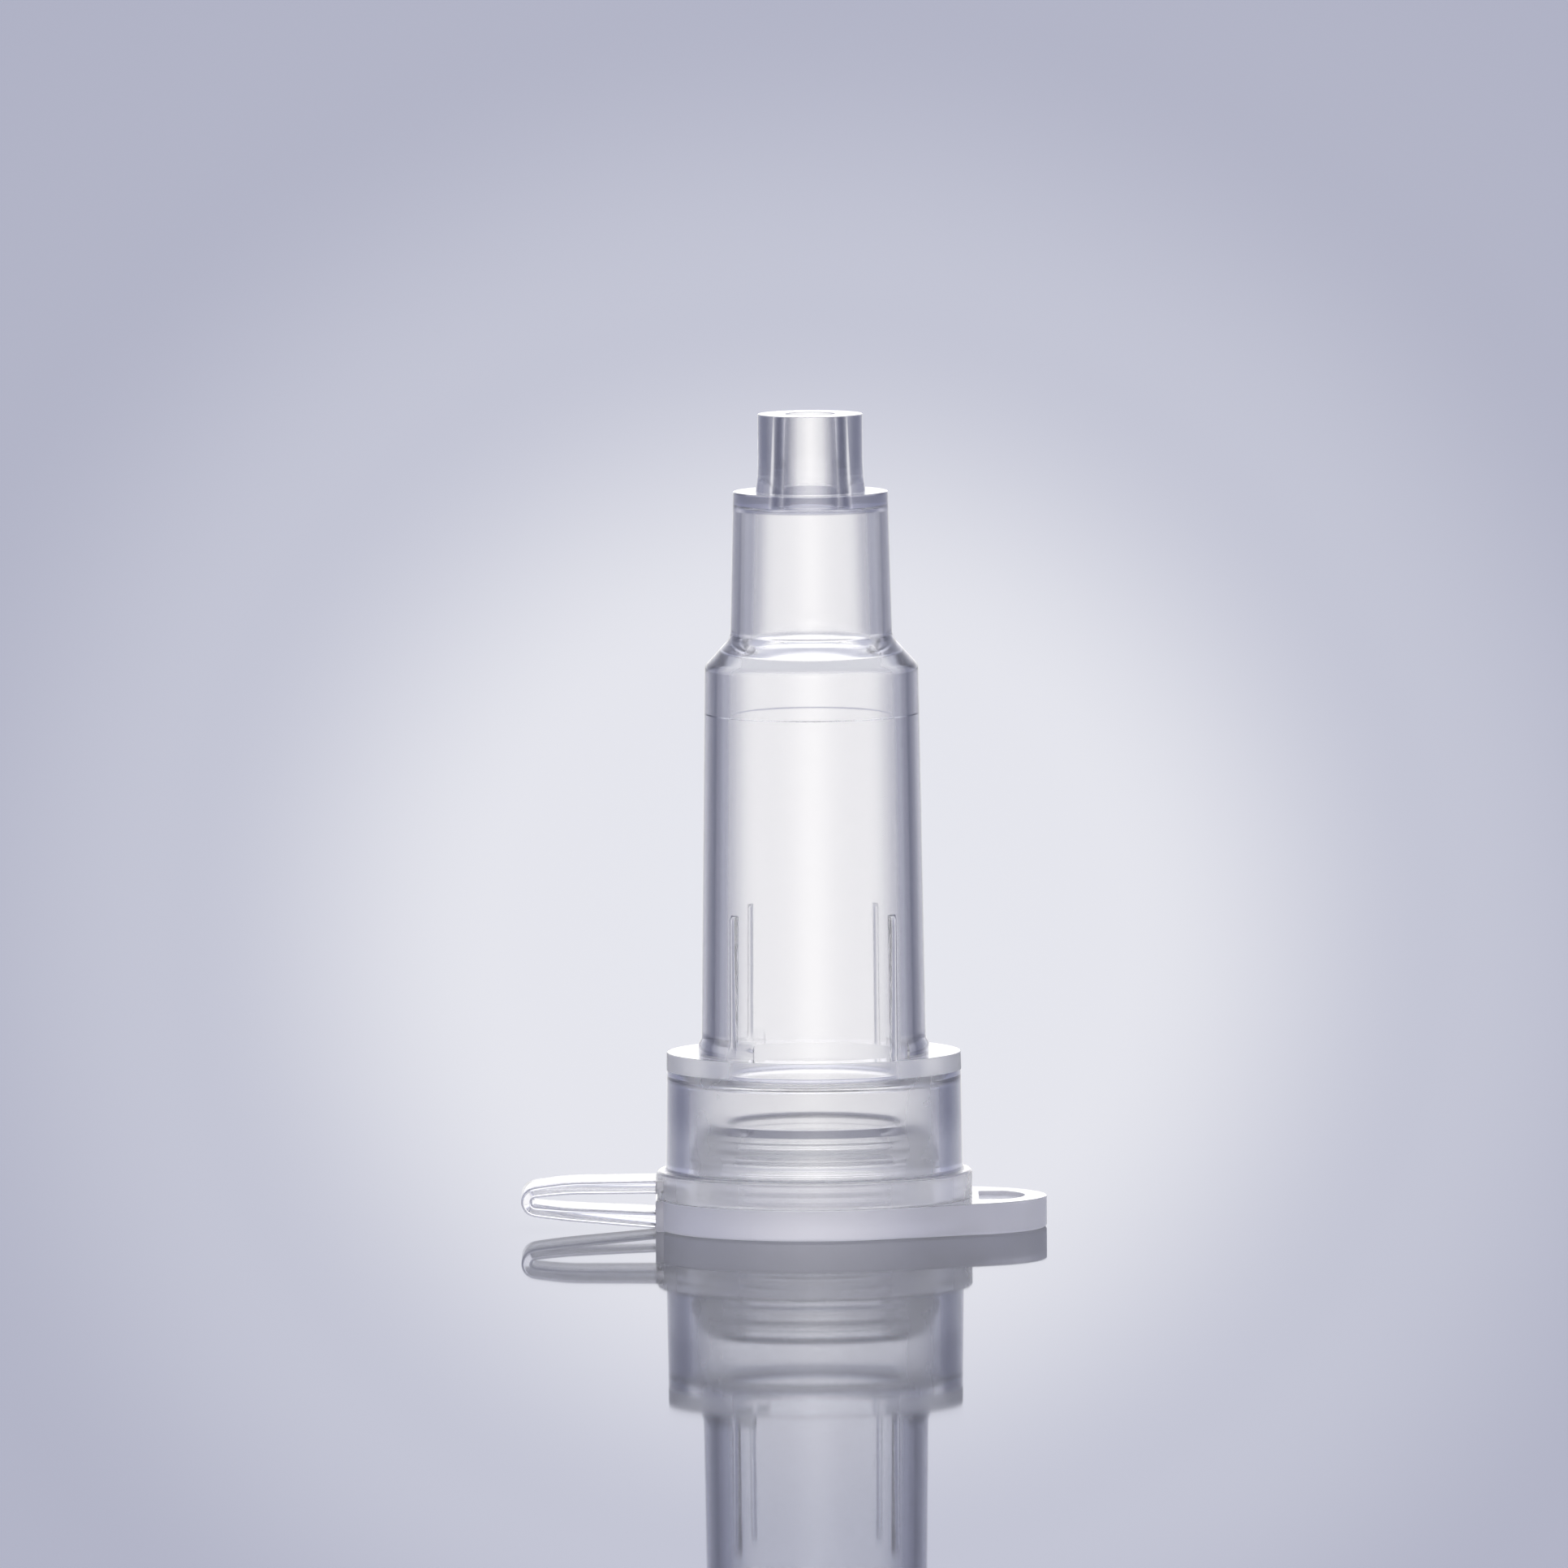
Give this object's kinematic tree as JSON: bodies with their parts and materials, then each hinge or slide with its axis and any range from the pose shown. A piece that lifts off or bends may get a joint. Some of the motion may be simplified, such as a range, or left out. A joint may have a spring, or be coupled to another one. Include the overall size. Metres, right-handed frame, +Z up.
{
  "type": "spin column",
  "caption": "Clear plastic spin column standing on its closed snap lid, with a folded hinge strap, stepped body and open outlet nozzle.",
  "frame": {"origin": "On the column's axis, at the lid's outer face, which is what the column stands on.", "axes": "+Z up the axis from the lid to the nozzle's tip. -X to the fold of the hinge strap, +X to the lid's thumb tab. +Y completes the right-handed frame, and the part is the same on both sides of the XZ plane."},
  "size_m": [0.0206, 0.0122, 0.0318],
  "materials": {
    "clear_plastic": "smooth clear plastic with a faint blue-grey tint"
  },
  "bodies": {
    "column": {"column_tube": "clear_plastic", "hinge_strap": "clear_plastic"},
    "lid": {"snap_lid": "clear_plastic"}
  },
  "joints": [
    {"name": "lid_hinge", "type": "hinge", "parent": "column", "child": "lid", "pos_m": [-0.01086, 0, 0.0012], "axis": [0, 1, 0], "range_deg": [0, 180], "deforming": ["hinge_strap"]}
  ]
}
